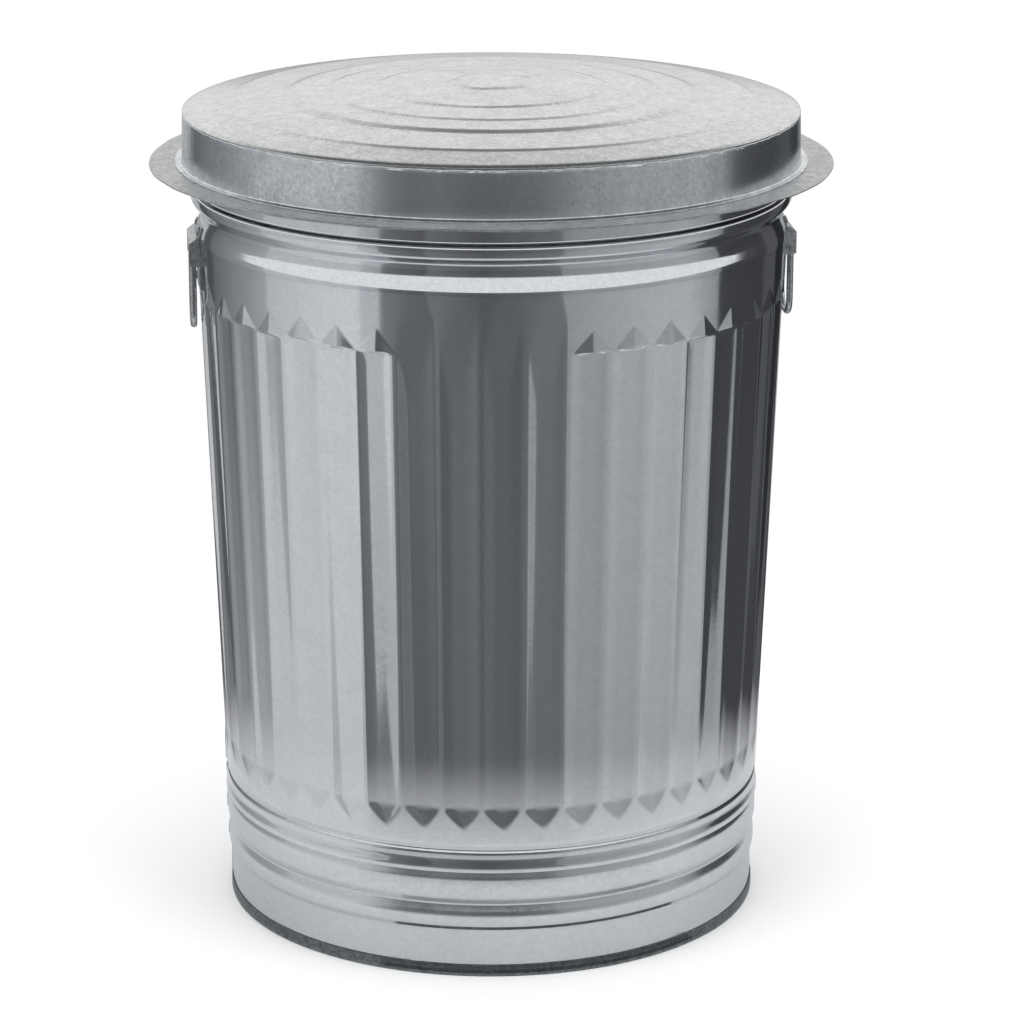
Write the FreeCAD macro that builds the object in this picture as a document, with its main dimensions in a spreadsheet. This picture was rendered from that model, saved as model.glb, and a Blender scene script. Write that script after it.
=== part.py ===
import FreeCAD, Part

import math
import os
import re

import Sketcher

# Galvanised dustbin with a lift-off lid. Millimetres, +Z up, origin at the middle of the
# foot, where the bin stands. The two handles lie on the +X and -X sides.

SIZES = (
    # sheet and clearances
    ("can_sheet", 0.8),  # thickness of the wall, the base band and the pan
    ("lid_sheet", 0.7),  # thickness of the lid's three sheets
    ("ear_sheet", 1.0),  # thickness of a handle ear
    ("hoop_sheet", 0.9),  # thickness of the foot hoop
    ("lap_gap", 0.12),  # between sheets that are seated in one another
    ("seat_gap", 0.3),  # between the resting lid and the rim
    # foot and base band
    ("band_inset", 2.8),  # how far the plain band above the foot lies inside the wall's lower end
    ("band_height", 83.8),  # floor to the lower edge of the wall
    ("hoop_height", 9.5),
    ("swage_drop", 6.0),  # height of the lower swage's steep underside
    ("swage_depth", 1.5),
    ("swage_bottom", 36.5),  # floor to the lower swage
    ("rib_bottom", 56.0),  # floor to the upper swage
    ("rib_drop", 9.6),
    ("rib_depth", 2.2),
    ("pan_height", 24.0),  # floor to the top of the bottom pan
    ("pan_dish", 3.0),  # how far the middle of the pan is raised
    ("pan_dish_radius", 140.0),
    # wall
    ("wall_radius", 207.6),  # outside of the wall at its lower end
    ("hem_height", 14.7),  # folded hem and plain strip below the cone
    ("hem_flare", 1.2),  # how far the folded hem stands proud
    ("groove_width", 5.4),
    ("groove_depth", 1.3),
    ("cone_height", 429.3),  # straight tapering wall, up to the shoulder's crease
    ("cone_spread", 16.0),  # how much the radius grows over that height
    ("shoulder_height", 11.2),
    ("neck_inset", 3.3),  # how far the neck lies inside the shoulder's crease
    ("neck_height", 8.0),
    ("bead_stand", 7.0),  # how far the bead under the lid stands out from the neck
    ("bead_rise", 7.0),  # height of the slope from the neck out to the bead
    ("bead_height", 7.5),
    ("bead_ledge", 2.0),
    ("collar_stand", 3.7),  # how far the plain collar inside the lid stands out from the neck
    ("collar_height", 57.0),  # from the bead's ledge to the top of the rim
    ("wire_radius", 2.5),  # wire in the rim, and wire of the two handles
    # flutes
    ("flute_count", 44),
    ("flute_blunt_count", 4),  # the flutes with a blunt top, under the bare name place
    ("flute_start", 18.5),  # from the cone's foot to the lower points
    ("flute_span", 382.0),  # from the lower points to the upper points
    ("flute_point_low", 16.0),
    ("flute_point_high", 18.0),
    ("flute_depth", 1.3),  # from the cone down to the floor, in the middle of a flute
    ("flute_floor", 8.0),  # width of the flat floor at the lower end
    ("flute_shift", 0.75),  # how far the floor lies beside the flute's middle
    ("flute_tilt", 5.0),  # degrees by which the floor rises to that side
    ("flute_crest_drop", 0.12),  # how far the sharp crests lie under the cone
    ("blunt_drop", 16.5),  # how far the blunt tops stay below the points
    ("blunt_slope", 7.6),  # height over which a blunt top slopes in to the flute's floor
    ("flute_turn", 6.9),  # degrees from the front towards -X to the middle of the blunt group
    # lid
    ("lid_room", 8.5),  # from the collar's outside to the outside of the lid's side at the top
    ("lid_flare", 0.9),
    ("lid_depth", 38.4),  # height of the lid's side
    ("lid_flange", 5.2),  # width of the flange that the side turns out on the brim
    ("brim_reach", 24.6),  # how far the brim stands out from the foot of the lid's side
    ("brim_hem", 3.4),  # width of the folded outer edge
    ("crown_rise", 20.3),  # from the crown's edge to its middle
    ("crown_drop", 7.0),  # depth of the crown's flange inside the side
    ("crown_lip", 1.6),  # drop of the crown from over the rim to its edge
    # handles
    ("ear_width", 56.0),
    ("ear_below", 38.8),  # shoulder's crease down to the ear's lower edge
    ("ear_above", 9.0),  # shoulder's crease up to the ear's upper edge
    ("hood_reach", 6.4),  # how far the hood stands out from the wall
    ("hood_top", 3.2),  # shoulder's crease down to the hood's front corner
    ("hood_lip", 9.0),  # height of the hood's front
    ("cheek_drop", 8.5),  # how far the cheeks reach below the hood's front
    ("pivot_drop", 15.8),  # shoulder's crease down to the pivot
    ("pivot_stand", 4.0),  # pivot's distance outside the wall
    ("pivot_gap", 0.08),  # clearance round the wire in its holes
    ("pin_reach", 1.5),  # how far the wire's ends pass the cheeks
    ("bail_half_width", 19.0),  # middle of the bail to the middle of its legs
    ("bail_drop", 53.5),
    ("bail_elbow", 4.5),  # bend radius beside the pivot
    ("bail_corner", 13.0),  # bend radius at the bottom of the bail
    # rivets
    ("rivet_radius", 1.9),
    ("rivet_head_radius", 3.4),
    ("rivet_head_height", 1.5),
    ("rivet_hole_gap", 0.06),
    ("rivet_side", 19.0),  # middle of the ear to its two upper rivets
    ("rivet_low", 32.6),  # shoulder's crease down to the lower rivet
)

# Ring-shaped steps of the crown: shares of the lid's radius and of the crown's rise.
CROWN_STEPS = (
    (0.116, 1.0),
    (0.176, 0.926),
    (0.361, 0.818),
    (0.391, 0.764),
    (0.520, 0.700),
    (0.555, 0.635),
    (0.645, 0.581),
    (0.731, 0.409),
    (0.847, 0.325),
    (0.877, 0.266),
)

# Heights that the sketches share, as expressions of the sizes.
CONE_FOOT = "(band_height + hem_height)"
CREASE = "(%s + cone_height)" % CONE_FOOT
CREASE_RADIUS = "(wall_radius + cone_spread)"
NECK_RADIUS = "(%s - neck_inset)" % CREASE_RADIUS
NECK_FOOT = "(%s + shoulder_height)" % CREASE
NECK_TOP = "(%s + neck_height)" % NECK_FOOT
BEAD_FOOT = "(%s + bead_rise)" % NECK_TOP
BEAD_TOP = "(%s + bead_height)" % BEAD_FOOT
LEDGE_TOP = "(%s + bead_ledge)" % BEAD_TOP
RIM_TOP = "(%s + collar_height)" % LEDGE_TOP
RIM_MIDDLE = "(%s - wire_radius - lap_gap - can_sheet)" % RIM_TOP
CROWN_EDGE = "(%s + seat_gap + lid_sheet - crown_lip)" % RIM_TOP
LID_FOOT = "(%s - lid_depth)" % CROWN_EDGE
PIVOT = "(%s - pivot_drop)" % CREASE
EAR_FOOT = "(%s - ear_below)" % CREASE
PIVOT_RADIUS = "(%s - pivot_drop * cone_spread / cone_height + pivot_stand)" % CREASE_RADIUS
HOOD_RADIUS = "(%s + hood_reach)" % CREASE_RADIUS

# Outside radii that follow from the sizes; an expression may use them by name.
RADII = {
    "band_radius": "(wall_radius - band_inset)",
    "bead_radius": "(%s + bead_stand)" % NECK_RADIUS,
    "collar_radius": "(%s + collar_stand)" % NECK_RADIUS,
    "lid_radius": "(collar_radius + lid_room)",
    "brim_radius": "(lid_radius + lid_flare + brim_reach)",
}

document =FreeCAD.newDocument("dustbin")
dims = document.addObject("Spreadsheet::Sheet", "dims")
for row, (alias, amount) in enumerate(SIZES, start=1):
    dims.set("A%d" % row, alias)
    dims.set("B%d" % row, str(amount))
    dims.setAlias("B%d" % row, alias)
document.recompute()


def size(alias):
    """One driving size, as a number."""
    return float(dims.get(alias))


def looked_up(word):
    """A size's place in the sheet, or a radius written out in sizes."""
    name = word.group()
    return bind(RADII[name]) if name in RADII else "dims." + name


def bind(expression):
    """The expression with each size looked up in the sheet; asin stays a function."""
    return re.sub(r"\b(?!asin\b)[a-z][a-z_]+", looked_up, expression)


def origin_plane(body, role):
    for feature in body.Origin.OriginFeatures:
        if feature.Role == role:
            return feature
    raise ValueError(role)


def new_sketch(body, name, role):
    sketch = body.newObject("Sketcher::SketchObject", name)
    sketch.AttachmentSupport = [(origin_plane(body, role), "")]
    sketch.MapMode = "FlatFace"
    return sketch


def pin_point(sketch, edge, kind, expression):
    """Hold the first point of a line at a distance from the sketch's origin."""
    if expression == "0":
        axis = -2 if kind == "DistanceX" else -1
        sketch.addConstraint(Sketcher.Constraint("PointOnObject", edge, 1, axis))
        return
    index = sketch.addConstraint(Sketcher.Constraint(kind, -1, 1, edge, 1, 10.0 + edge))
    sketch.setExpression("Constraints[%d]" % index, bind(expression))


def outline(body, name, points, role="XZ_Plane"):
    """A closed sketch of straight lines; each point is a pair of expressions."""
    sketch = new_sketch(body, name, role)
    count = len(points)
    starts = [FreeCAD.Vector(10 + index, 10 + index ** 2, 0) for index in range(count)]
    for index in range(count):
        sketch.addGeometry(Part.LineSegment(starts[index], starts[(index + 1) % count]), False)
    for index in range(count):
        joint = Sketcher.Constraint("Coincident", index, 2, (index + 1) % count, 1)
        sketch.addConstraint(joint)
    for index, (across, up) in enumerate(points):
        pin_point(sketch, index, "DistanceX", across)
        pin_point(sketch, index, "DistanceY", up)
    return sketch


def spun(body, sketch, name, kind="PartDesign::Revolution"):
    """Turn a sketch round the upright axis, adding or cutting."""
    feature = body.newObject(kind, name)
    feature.Profile = (sketch, [""])
    feature.ReferenceAxis = (sketch, ["V_Axis"])
    feature.Angle = 360
    return feature


def spun_body(label, points):
    """A body made by turning one closed outline round the upright axis."""
    body = document.addObject("PartDesign::Body", label)
    spun(body, outline(body, label + "_outline", points), label + "_turned")
    return body


def bound_torus(label, middle_radius, tube_radius, height):
    torus = document.addObject("Part::Torus", label)
    torus.setExpression("Radius1", bind(middle_radius))
    torus.setExpression("Radius2", bind(tube_radius))
    torus.setExpression("Placement.Base.z", bind(height))
    return torus


def cut(label, base, tool):
    feature = document.addObject("Part::Cut", label)
    feature.Base = base
    feature.Tool = tool
    return feature


def fixed_shape(label, shape, placement=None):
    feature = document.addObject("Part::Feature", label)
    feature.Shape = shape
    if placement:
        feature.Placement = placement
    return feature


# ---- foot hoop, base band and bottom pan ----


def make_foot_hoop():
    """Channel round the lower edge; it grips the band and the pan's flange."""
    outside = "(band_radius + lap_gap + hoop_sheet)"
    inside = "(band_radius - 2 * can_sheet - 2 * lap_gap - hoop_sheet)"
    points = (
        (inside, "0"),
        (outside, "0"),
        (outside, "hoop_height"),
        ("band_radius + lap_gap", "hoop_height"),
        ("band_radius + lap_gap", "hoop_sheet"),
        (inside + " + hoop_sheet", "hoop_sheet"),
        (inside + " + hoop_sheet", "hoop_height - 2 * hoop_sheet"),
        (inside, "hoop_height - 2 * hoop_sheet"),
    )
    return spun_body("foot_hoop", points)


def band_line(inset):
    """The band's stations from the foot upwards, moved inwards by a thickness."""
    stations = (
        ("band_radius", "(hoop_sheet + lap_gap)"),
        ("band_radius", "swage_bottom"),
        ("band_radius + swage_depth", "swage_bottom + swage_drop"),
        ("band_radius + swage_depth", "swage_bottom + 2 * swage_drop"),
        ("band_radius + swage_depth / 3", "rib_bottom"),
        ("band_radius + swage_depth / 3 + rib_depth", "rib_bottom + rib_drop"),
        ("wall_radius - can_sheet", "rib_bottom + 2 * rib_drop"),
        ("wall_radius - can_sheet - lap_gap", "band_height"),
        ("wall_radius - can_sheet - lap_gap", "%s - can_sheet" % CONE_FOOT),
    )
    return [("%s - %s" % (radius, inset), height) for radius, height in stations]


def make_base_band():
    """Skirt with two pressed swages; its collar stands inside the wall."""
    outer = band_line("0 * can_sheet")
    inner = band_line("can_sheet")
    return spun_body("base_band", outer + inner[::-1])


def make_base_pan():
    """Dished bottom whose flange runs down inside the band into the foot hoop."""
    flange = "(band_radius - can_sheet - lap_gap)"
    shelf = "(band_radius - 6 * can_sheet)"
    slope = "(pan_dish_radius + 3 * pan_dish)"
    points = (
        ("0", "pan_height + pan_dish"),
        ("pan_dish_radius", "pan_height + pan_dish"),
        (slope, "pan_height"),
        (shelf, "pan_height"),
        (flange, "pan_height - 5 * can_sheet"),
        (flange, "hoop_sheet + lap_gap"),
        (flange + " - can_sheet", "hoop_sheet + lap_gap"),
        (flange + " - can_sheet", "pan_height - 5.4 * can_sheet"),
        (shelf + " - can_sheet / 2", "pan_height - can_sheet"),
        (slope, "pan_height - can_sheet"),
        ("pan_dish_radius", "pan_height + pan_dish - can_sheet"),
        ("0", "pan_height + pan_dish - can_sheet"),
    )
    return spun_body("base_pan", points)


# ---- fluted wall ----


def make_wall_blank():
    """The wall's outside as a solid, before the flutes are pressed in."""
    hem = "(wall_radius + hem_flare)"
    points = (
        ("0", "band_height + lap_gap"),
        (hem, "band_height + lap_gap"),
        (hem, "band_height + hem_height / 4"),
        ("wall_radius", "band_height + hem_height * 0.6"),
        ("wall_radius", CONE_FOOT),
        ("wall_radius - groove_depth", "%s + groove_width / 2" % CONE_FOOT),
        ("wall_radius + groove_width * cone_spread / cone_height", "%s + groove_width" % CONE_FOOT),
        (CREASE_RADIUS, CREASE),
        (NECK_RADIUS, NECK_FOOT),
        (NECK_RADIUS, NECK_TOP),
        ("bead_radius", BEAD_FOOT),
        ("bead_radius", BEAD_TOP),
        ("collar_radius", LEDGE_TOP),
        ("collar_radius", RIM_MIDDLE),
        ("0", RIM_MIDDLE),
    )
    return spun_body("wall_blank", points)


def make_wall_core():
    """The space inside the wall, open at both ends."""
    low = "(wall_radius - can_sheet)"
    groove = "(wall_radius - groove_depth - can_sheet)"
    above_groove = "(%s + groove_width * cone_spread / cone_height)" % low
    points = (
        ("0", "band_height - can_sheet"),
        (low, "band_height - can_sheet"),
        (low, "%s - can_sheet / 3" % CONE_FOOT),
        (groove, "%s + groove_width / 2 - can_sheet / 3" % CONE_FOOT),
        (groove, "%s + groove_width / 2 + can_sheet / 3" % CONE_FOOT),
        (above_groove, "%s + groove_width + can_sheet / 3" % CONE_FOOT),
        (CREASE_RADIUS + " - can_sheet", "%s - can_sheet / 8" % CREASE),
        (NECK_RADIUS + " - can_sheet", "%s - can_sheet / 8" % NECK_FOOT),
        (NECK_RADIUS + " - can_sheet", "%s + can_sheet / 3" % NECK_TOP),
        ("bead_radius - can_sheet", "%s + can_sheet / 3" % BEAD_FOOT),
        ("bead_radius - can_sheet", "%s - can_sheet / 2" % BEAD_TOP),
        ("collar_radius - can_sheet", "%s - can_sheet / 2" % LEDGE_TOP),
        ("collar_radius - can_sheet", "%s + can_sheet" % RIM_TOP),
        ("0", "%s + can_sheet" % RIM_TOP),
    )
    return spun_body("wall_core", points)


def cone_radius(height):
    """Radius of the plain tapering wall at a height."""
    cone_foot = size("band_height") + size("hem_height")
    return size("wall_radius") + (height - cone_foot) * size("cone_spread") / size("cone_height")


def through(corners, inside):
    """A plane through three corners, as a point and its outward direction."""
    first, second, third = corners
    normal = (second - first).cross(third - first).normalize()
    if normal.dot(inside - first) > 0:
        normal = -normal
    return first, normal


def flute_planes(blunt):
    """The planes of one pressed flute on the +X side, each facing out of it."""
    low_tip = size("band_height") + size("hem_height") + size("flute_start")
    high_tip = low_tip + size("flute_span")
    low_end = low_tip + size("flute_point_low")
    high_end = high_tip - size("flute_point_high")
    if blunt:
        high_end = high_tip - size("blunt_drop")
    half_pitch = math.pi / size("flute_count")
    run = cone_radius(low_end) * math.sin(half_pitch) - size("flute_floor") / 2

    def crest(height, side):
        radius = cone_radius(height) - size("flute_crest_drop")
        across = side * radius * math.sin(half_pitch)
        return FreeCAD.Vector(radius * math.cos(half_pitch), across, height)

    def floor(height, side):
        half_floor = cone_radius(height) * math.sin(half_pitch) - run
        across = side * half_floor + size("flute_shift")
        depth = size("flute_depth")
        level = height + depth * size("cone_spread") / size("cone_height")
        rise = across * math.tan(math.radians(size("flute_tilt")))
        return FreeCAD.Vector(cone_radius(height) - depth + rise, across, level)

    half_way = (low_end + high_end) / 2
    middle = FreeCAD.Vector(cone_radius(half_way), 0, half_way)
    planes = [through((floor(low_end, 1), floor(low_end, -1), floor(high_end, 1)), middle)]
    for side in (-1, 1):
        planes.append(through((crest(low_end, side), crest(high_end, side), floor(low_end, side)), middle))
    ends = [(low_end, FreeCAD.Vector(cone_radius(low_tip), 0, low_tip))]
    if blunt:
        slope_end = floor(high_end - size("blunt_slope"), 1)
        corners = (crest(high_end, -1), crest(high_end, 1), slope_end)
        planes.append(through(corners, middle))
    else:
        ends.append((high_end, FreeCAD.Vector(cone_radius(high_tip), 0, high_tip)))
    for end, tip in ends:
        planes.append(through((floor(end, -1), floor(end, 1), tip), middle))
        for side in (-1, 1):
            planes.append(through((crest(end, side), floor(end, side), tip), middle))
    return planes


def flute_tool(blunt, thickness):
    """The solid that presses one flute, grown by a sheet thickness for the inside."""
    cone_foot = size("band_height") + size("hem_height")
    reach = 4 * size("flute_depth")
    half_width = cone_radius(cone_foot) * math.pi / size("flute_count") + reach
    corner = FreeCAD.Vector(cone_radius(cone_foot) - reach, -half_width, cone_foot)
    tool = Part.makeBox(size("cone_spread") + 1.5 * reach, 2 * half_width, size("cone_height"), corner)
    block = 2 * size("cone_height")
    for point, outward in flute_planes(blunt):
        waste = Part.makeBox(block, block, block, FreeCAD.Vector(-block / 2, -block / 2, 0))
        turn = FreeCAD.Rotation(FreeCAD.Vector(0, 0, 1), outward)
        waste.Placement = FreeCAD.Placement(point + outward * thickness, turn)
        tool = tool.cut(waste)
    return tool


def flute_tools(label, thickness):
    """All flutes round the wall; the blunt ones come first, near the front."""
    pitch = 360.0 / size("flute_count")
    blunt_count = int(size("flute_blunt_count"))
    pointed = flute_tool(False, thickness)
    blunt = flute_tool(True, thickness)
    first = -90.0 - size("flute_turn") - pitch * (blunt_count - 1) / 2
    tools = []
    for index in range(int(size("flute_count"))):
        tool = (blunt if index < blunt_count else pointed).copy()
        tool.rotate(FreeCAD.Vector(0, 0, 0), FreeCAD.Vector(0, 0, 1), first + index * pitch)
        tools.append(tool)
    return fixed_shape(label, Part.makeCompound(tools))


def make_can_wall(holes):
    """Fluted sheet with its bead, collar and curled rim."""
    pressed = cut("wall_pressed", make_wall_blank(), flute_tools("flutes_outside", 0.0))
    hollow = cut("wall_hollow", make_wall_core(), flute_tools("flutes_inside", size("can_sheet")))
    sheet = cut("wall_sheet", pressed, hollow)
    curl_radius = "collar_radius + wire_radius"
    curl = bound_torus("rim_curl", curl_radius, "wire_radius + lap_gap + can_sheet", RIM_MIDDLE)
    joined = document.addObject("Part::Fuse", "wall_with_curl")
    joined.Base = sheet
    joined.Tool = curl
    wire_space = bound_torus("rim_wire_space", curl_radius, "wire_radius + lap_gap", RIM_MIDDLE)
    opened = cut("wall_with_wire_space", joined, wire_space)
    return cut("can_wall", opened, holes)


def make_rim_wire():
    return bound_torus("rim_wire", "collar_radius + wire_radius", "wire_radius", RIM_MIDDLE)


# ---- handles ----


def shoulder_tilt():
    return math.atan2(size("neck_inset"), size("shoulder_height"))


def rivet_seats():
    """Point on the ear's face and outward direction of each rivet, on the +X side."""
    crease = size("band_height") + size("hem_height") + size("cone_height")
    crease_radius = size("wall_radius") + size("cone_spread")
    stand = size("lap_gap") + size("ear_sheet")
    seats = []
    low = crease - size("rivet_low")
    lean = math.atan2(size("cone_spread"), size("cone_height"))
    outward = FreeCAD.Vector(math.cos(lean), 0, -math.sin(lean))
    seats.append((FreeCAD.Vector(cone_radius(low) + stand, 0, low), outward))
    tilt = shoulder_tilt()
    rise = size("ear_above") / 2
    radius = crease_radius - rise * math.tan(tilt)
    spread = math.degrees(math.asin(size("rivet_side") / radius))
    for side in (-1, 1):
        turn = FreeCAD.Rotation(FreeCAD.Vector(0, 0, 1), side * spread)
        outward = turn.multVec(FreeCAD.Vector(math.cos(tilt), 0, math.sin(tilt)))
        face = turn.multVec(FreeCAD.Vector(radius, 0, crease + rise)) + outward * stand
        seats.append((face, outward))
    return seats


def side_turn(side):
    """Turn that carries the +X handle to its own side."""
    return FreeCAD.Rotation(FreeCAD.Vector(0, 0, 1), 0 if side == "right" else 180)


def make_rivet_holes(side):
    """Cylinders that open the ear and the wall for one ear's rivets."""
    radius = size("rivet_radius") + size("rivet_hole_gap")
    reach = 4 * (size("ear_sheet") + size("can_sheet"))
    tools = []
    for face, outward in rivet_seats():
        start = face - outward * reach / 2
        tools.append(Part.makeCylinder(radius, reach, start, outward))
    holes = Part.makeCompound(tools)
    holes.rotate(FreeCAD.Vector(0, 0, 0), FreeCAD.Vector(0, 0, 1), side_turn(side).Angle * 180 / math.pi)
    return fixed_shape(side + "_rivet_holes", holes)


def make_ear(side, holes):
    """Pressed sheet ear: back plate, hood, and two cheeks that hold the bail's ends."""
    label = side + "_ear"
    body = document.addObject("PartDesign::Body", label + "_blank")

    inside = CREASE_RADIUS + " - 4 * ear_sheet"
    hood_corner = "%s - hood_top" % CREASE
    hood_foot = "%s - hood_top - hood_lip - cheek_drop" % CREASE
    hood = outline(body, label + "_hood_outline", (
        (inside, "%s + ear_sheet" % CREASE),
        (CREASE_RADIUS + " + ear_sheet", "%s + ear_sheet" % CREASE),
        (HOOD_RADIUS, hood_corner),
        (HOOD_RADIUS, hood_foot + " + ear_sheet"),
        (HOOD_RADIUS + " - 2 * ear_sheet", hood_foot),
        (inside, hood_foot),
    ))
    pad = body.newObject("PartDesign::Pad", label + "_hood")
    pad.Profile = (hood, [""])
    pad.SideType = "Symmetric"
    pad.setExpression("Length", bind("ear_width"))

    room = outline(body, label + "_room_outline", (
        (inside + " - ear_sheet", "%s" % CREASE),
        (CREASE_RADIUS + " + ear_sheet / 2", "%s" % CREASE),
        (HOOD_RADIUS + " - ear_sheet", hood_corner + " - ear_sheet / 3"),
        (HOOD_RADIUS + " - ear_sheet", "%s - hood_top - hood_lip" % CREASE),
        (HOOD_RADIUS + " + ear_sheet", "%s - hood_top - hood_lip" % CREASE),
        (HOOD_RADIUS + " + ear_sheet", hood_foot + " - ear_sheet"),
        (inside + " - ear_sheet", hood_foot + " - ear_sheet"),
    ))
    pocket = body.newObject("PartDesign::Pocket", label + "_room")
    pocket.Profile = (room, [""])
    pocket.SideType = "Symmetric"
    pocket.setExpression("Length", bind("ear_width - 2 * ear_sheet"))

    lean = "ear_below * cone_spread / cone_height"
    top = "(%s - ear_above * neck_inset / shoulder_height)" % CREASE_RADIUS
    plate = outline(body, label + "_plate_outline", (
        (CREASE_RADIUS + " - " + lean + " - ear_sheet", EAR_FOOT),
        (CREASE_RADIUS + " - " + lean + " + lap_gap + ear_sheet", EAR_FOOT),
        (CREASE_RADIUS + " + lap_gap + ear_sheet", CREASE),
        (top + " + lap_gap + ear_sheet", "%s + ear_above" % CREASE),
        (top + " - ear_sheet", "%s + ear_above" % CREASE),
        (CREASE_RADIUS + " - ear_sheet", CREASE),
    ))
    plate_turned = spun(body, plate, label + "_plate")
    plate_turned.Midplane = True
    plate_turned.setExpression("Angle", bind("2 * asin(ear_width / 2 / %s)" % CREASE_RADIUS))

    seat = outline(body, label + "_seat_outline", (
        ("0", "%s - ear_sheet" % EAR_FOOT),
        (CREASE_RADIUS + " + lap_gap - (ear_below + ear_sheet) * cone_spread / cone_height",
         "%s - ear_sheet" % EAR_FOOT),
        (CREASE_RADIUS + " + lap_gap", CREASE),
        (NECK_RADIUS + " + lap_gap", NECK_FOOT),
        ("0", NECK_FOOT),
    ))
    spun(body, seat, label + "_seat", "PartDesign::Groove")

    pivot = new_sketch(body, label + "_pivot_outline", "XZ_Plane")
    near = FreeCAD.Vector(size("wall_radius"), size("cone_height"), 0)
    circle = Part.Circle(near, FreeCAD.Vector(0, 0, 1), size("wire_radius"))
    pivot.addGeometry(circle, False)
    across = pivot.addConstraint(Sketcher.Constraint("DistanceX", -1, 1, 0, 3, near.x))
    pivot.setExpression("Constraints[%d]" % across, bind(PIVOT_RADIUS))
    up = pivot.addConstraint(Sketcher.Constraint("DistanceY", -1, 1, 0, 3, near.y))
    pivot.setExpression("Constraints[%d]" % up, bind(PIVOT))
    round_size = pivot.addConstraint(Sketcher.Constraint("Radius", 0, 3))
    pivot.setExpression("Constraints[%d]" % round_size, bind("wire_radius + pivot_gap"))
    bore = body.newObject("PartDesign::Pocket", label + "_pivot_holes")
    bore.Profile = (pivot, [""])
    bore.SideType = "Symmetric"
    bore.setExpression("Length", bind("2 * ear_width"))

    body.Placement = FreeCAD.Placement(FreeCAD.Vector(0, 0, 0), side_turn(side))
    return cut(label, body, holes)


def make_bail(side):
    """Round wire bail: two ends turned out into the cheeks, two legs and a round bottom."""
    label = side + "_bail"
    body = document.addObject("PartDesign::Body", label)
    half = size("bail_half_width")
    drop = size("bail_drop")
    elbow = size("bail_elbow")
    corner = size("bail_corner")
    pin_end = size("ear_width") / 2 + size("pin_reach")

    path = new_sketch(body, label + "_path", "YZ_Plane")
    stations = ((-pin_end, 0), (-half - elbow, 0), (-half, -elbow), (-half, corner - drop),
                (corner - half, -drop), (half - corner, -drop), (half, corner - drop),
                (half, -elbow), (half + elbow, 0), (pin_end, 0))
    places = [FreeCAD.Vector(across, up, 0) for across, up in stations]
    bends = ((1, -half - elbow, -elbow, elbow, 0, 90), (3, corner - half, corner - drop, corner, 180, 270),
             (5, half - corner, corner - drop, corner, 270, 360), (7, half + elbow, -elbow, elbow, 90, 180))
    for index in range(len(places) - 1):
        bend = [item for item in bends if item[0] == index]
        if bend:
            _, across, up, radius, start, stop = bend[0]
            circle = Part.Circle(FreeCAD.Vector(across, up, 0), FreeCAD.Vector(0, 0, 1), radius)
            arc = Part.ArcOfCircle(circle, math.radians(start), math.radians(stop))
            path.addGeometry(arc, False)
        else:
            path.addGeometry(Part.LineSegment(places[index], places[index + 1]), False)
    # Each bend meets the lines before and after it smoothly.
    path.addConstraint([
        Sketcher.Constraint("Tangent", 0, 2, 1, 2),
        Sketcher.Constraint("Tangent", 1, 1, 2, 1),
        Sketcher.Constraint("Tangent", 2, 2, 3, 1),
        Sketcher.Constraint("Tangent", 3, 2, 4, 1),
        Sketcher.Constraint("Tangent", 4, 2, 5, 1),
        Sketcher.Constraint("Tangent", 5, 2, 6, 1),
        Sketcher.Constraint("Tangent", 6, 2, 7, 2),
        Sketcher.Constraint("Tangent", 7, 1, 8, 1),
        Sketcher.Constraint("PointOnObject", 0, 1, -1),
        Sketcher.Constraint("PointOnObject", 8, 2, -1),
        Sketcher.Constraint("Horizontal", 0),
        Sketcher.Constraint("Horizontal", 8),
        Sketcher.Constraint("Vertical", 2),
        Sketcher.Constraint("Vertical", 6),
        Sketcher.Constraint("Horizontal", 4),
    ])
    held = (
        (Sketcher.Constraint("Radius", 1, elbow), "bail_elbow"),
        (Sketcher.Constraint("Radius", 3, corner), "bail_corner"),
        (Sketcher.Constraint("Radius", 5, corner), "bail_corner"),
        (Sketcher.Constraint("Radius", 7, elbow), "bail_elbow"),
        (Sketcher.Constraint("DistanceX", 0, 1, -1, 1, pin_end), "ear_width / 2 + pin_reach"),
        (Sketcher.Constraint("DistanceX", -1, 1, 8, 2, pin_end), "ear_width / 2 + pin_reach"),
        (Sketcher.Constraint("DistanceX", 2, 1, -1, 1, half), "bail_half_width"),
        (Sketcher.Constraint("DistanceX", -1, 1, 6, 1, half), "bail_half_width"),
        (Sketcher.Constraint("DistanceY", 4, 1, -1, 1, drop), "bail_drop"),
    )
    for constraint, expression in held:
        index = path.addConstraint(constraint)
        path.setExpression("Constraints[%d]" % index, bind(expression))

    section = new_sketch(body, label + "_section", "XZ_Plane")
    section.addGeometry(Part.Circle(FreeCAD.Vector(0, 0, 0), FreeCAD.Vector(0, 0, 1), 2), False)
    section.addConstraint(Sketcher.Constraint("Coincident", 0, 3, -1, 1))
    round_size = section.addConstraint(Sketcher.Constraint("Radius", 0, 2))
    section.setExpression("Constraints[%d]" % round_size, bind("wire_radius"))
    section.setExpression("AttachmentOffset.Base.z", bind("ear_width / 2 + pin_reach"))

    pipe = body.newObject("PartDesign::AdditivePipe", label + "_wire")
    pipe.Profile = section
    pipe.Spine = path
    out = 1 if side == "right" else -1
    body.setExpression("Placement.Base.x", "%d * " % out + bind(PIVOT_RADIUS))
    body.setExpression("Placement.Base.z", bind(PIVOT))
    return body


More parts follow.
